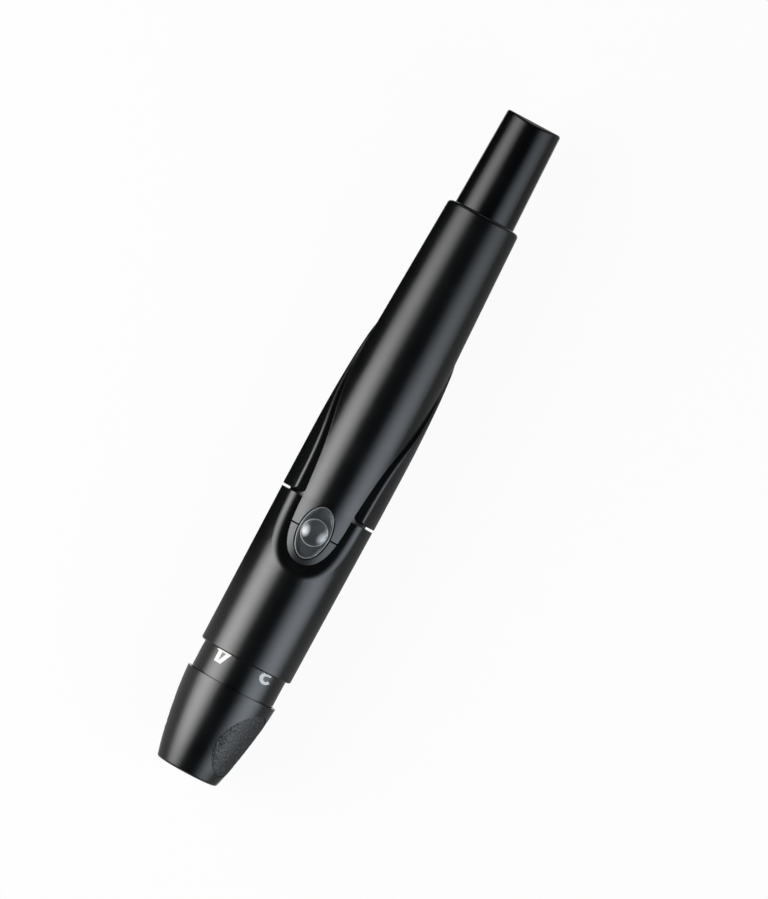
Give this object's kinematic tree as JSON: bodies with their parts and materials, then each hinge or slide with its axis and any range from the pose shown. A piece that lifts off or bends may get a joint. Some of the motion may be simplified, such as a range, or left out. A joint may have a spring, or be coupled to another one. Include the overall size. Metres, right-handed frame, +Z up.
{
  "type": "lancing device",
  "caption": "Pen-shaped finger-pricking device in black plastic with a pull-off cap, a numbered depth dial at the nose, a clear oval release button and a priming plunger.",
  "frame": {"origin": "centre of the footprint, on the floor under the middle of the pen", "axes": "The pen lies on its back: +Y runs along it from the nose to the plunger, +Z is up through the release button, +X is to the right seen from above with the plunger away from the viewer."},
  "size_m": [0.016, 0.115, 0.0158],
  "materials": {
    "black_satin": "satin",
    "black_gloss": "gloss",
    "dark_grey": "satin",
    "smoke_grey": "satin",
    "grey_nylon": "matt",
    "white_plastic": "matt",
    "clear": "clear gloss",
    "spring_steel": "bright"
  },
  "bodies": {
    "housing": {"rear_housing": "black_satin", "front_chassis": "dark_grey", "rear_bearing": "grey_nylon", "catch_pin": "spring_steel", "button_spring": "spring_steel", "drive_spring": "spring_steel", "return_spring": "spring_steel"},
    "cap": {"cap_sleeve": "black_satin"},
    "click": {"click_ring": "grey_nylon"},
    "dial": {"number_ring": "black_satin", "nose_cone": "black_satin"},
    "plunger_body": {"plunger": "black_gloss", "drive_pins": "spring_steel"},
    "tension": {"tension_sleeve": "white_plastic", "sleeve_clip": "spring_steel"},
    "button": {"release_button": "smoke_grey", "button_lens": "clear"},
    "catch": {"release_catch": "grey_nylon"},
    "rotor": {"drive_rotor": "grey_nylon"},
    "holder": {"lancet_holder": "white_plastic", "jaw_ring": "spring_steel", "traveller_pin": "spring_steel"}
  },
  "joints": [
    {"name": "cap_pull", "type": "slide", "parent": "housing", "child": "cap", "axis": [0, -1, 0], "range_m": [0, 0.045]},
    {"name": "dial_feed", "type": "slide", "parent": "cap", "child": "click", "axis": [0, 1, 0], "range_m": [-0.0009, 0.0006]},
    {"name": "dial_turn", "type": "hinge", "parent": "click", "child": "dial", "pos_m": [0, 0, 0.00785], "axis": [0, 1, 0], "range_deg": [-199, 133]},
    {"name": "plunger_press", "type": "slide", "parent": "housing", "child": "plunger_body", "axis": [0, -1, 0], "range_m": [0, 0.007], "stiffness_N_per_m": 100, "deforming": ["return_spring"]},
    {"name": "tension_turn", "type": "hinge", "parent": "housing", "child": "tension", "pos_m": [0, 0, 0.00785], "axis": [0, 1, 0], "range_deg": [0, 151], "deforming": ["drive_spring"]},
    {"name": "button_press", "type": "slide", "parent": "housing", "child": "button", "axis": [0, 0, -1], "range_m": [0, 0.0005], "stiffness_N_per_m": 60, "deforming": ["button_spring"]},
    {"name": "catch_tilt", "type": "hinge", "parent": "housing", "child": "catch", "pos_m": [0, -0.0092, 0.01085], "axis": [1, 0, 0], "range_deg": [0, 17.5]},
    {"name": "rotor_turn", "type": "hinge", "parent": "housing", "child": "rotor", "pos_m": [0, 0, 0.00785], "axis": [0, 1, 0], "range_deg": [0, 75.5]},
    {"name": "lancet_stroke", "type": "slide", "parent": "housing", "child": "holder", "axis": [0, -1, 0], "range_m": [0, 0.003], "stiffness_N_per_m": 50}
  ],
  "couplings": [
    {"joint": "dial_turn", "follows": "dial_feed", "rad_per_m": 3831.2},
    {"joint": "tension_turn", "follows": "plunger_press", "rad_per_m": 374},
    {"joint": "catch_tilt", "follows": "button_press", "rad_per_m": 600},
    {"joint": "rotor_turn", "follows": "lancet_stroke", "rad_per_m": 436.33}
  ]
}
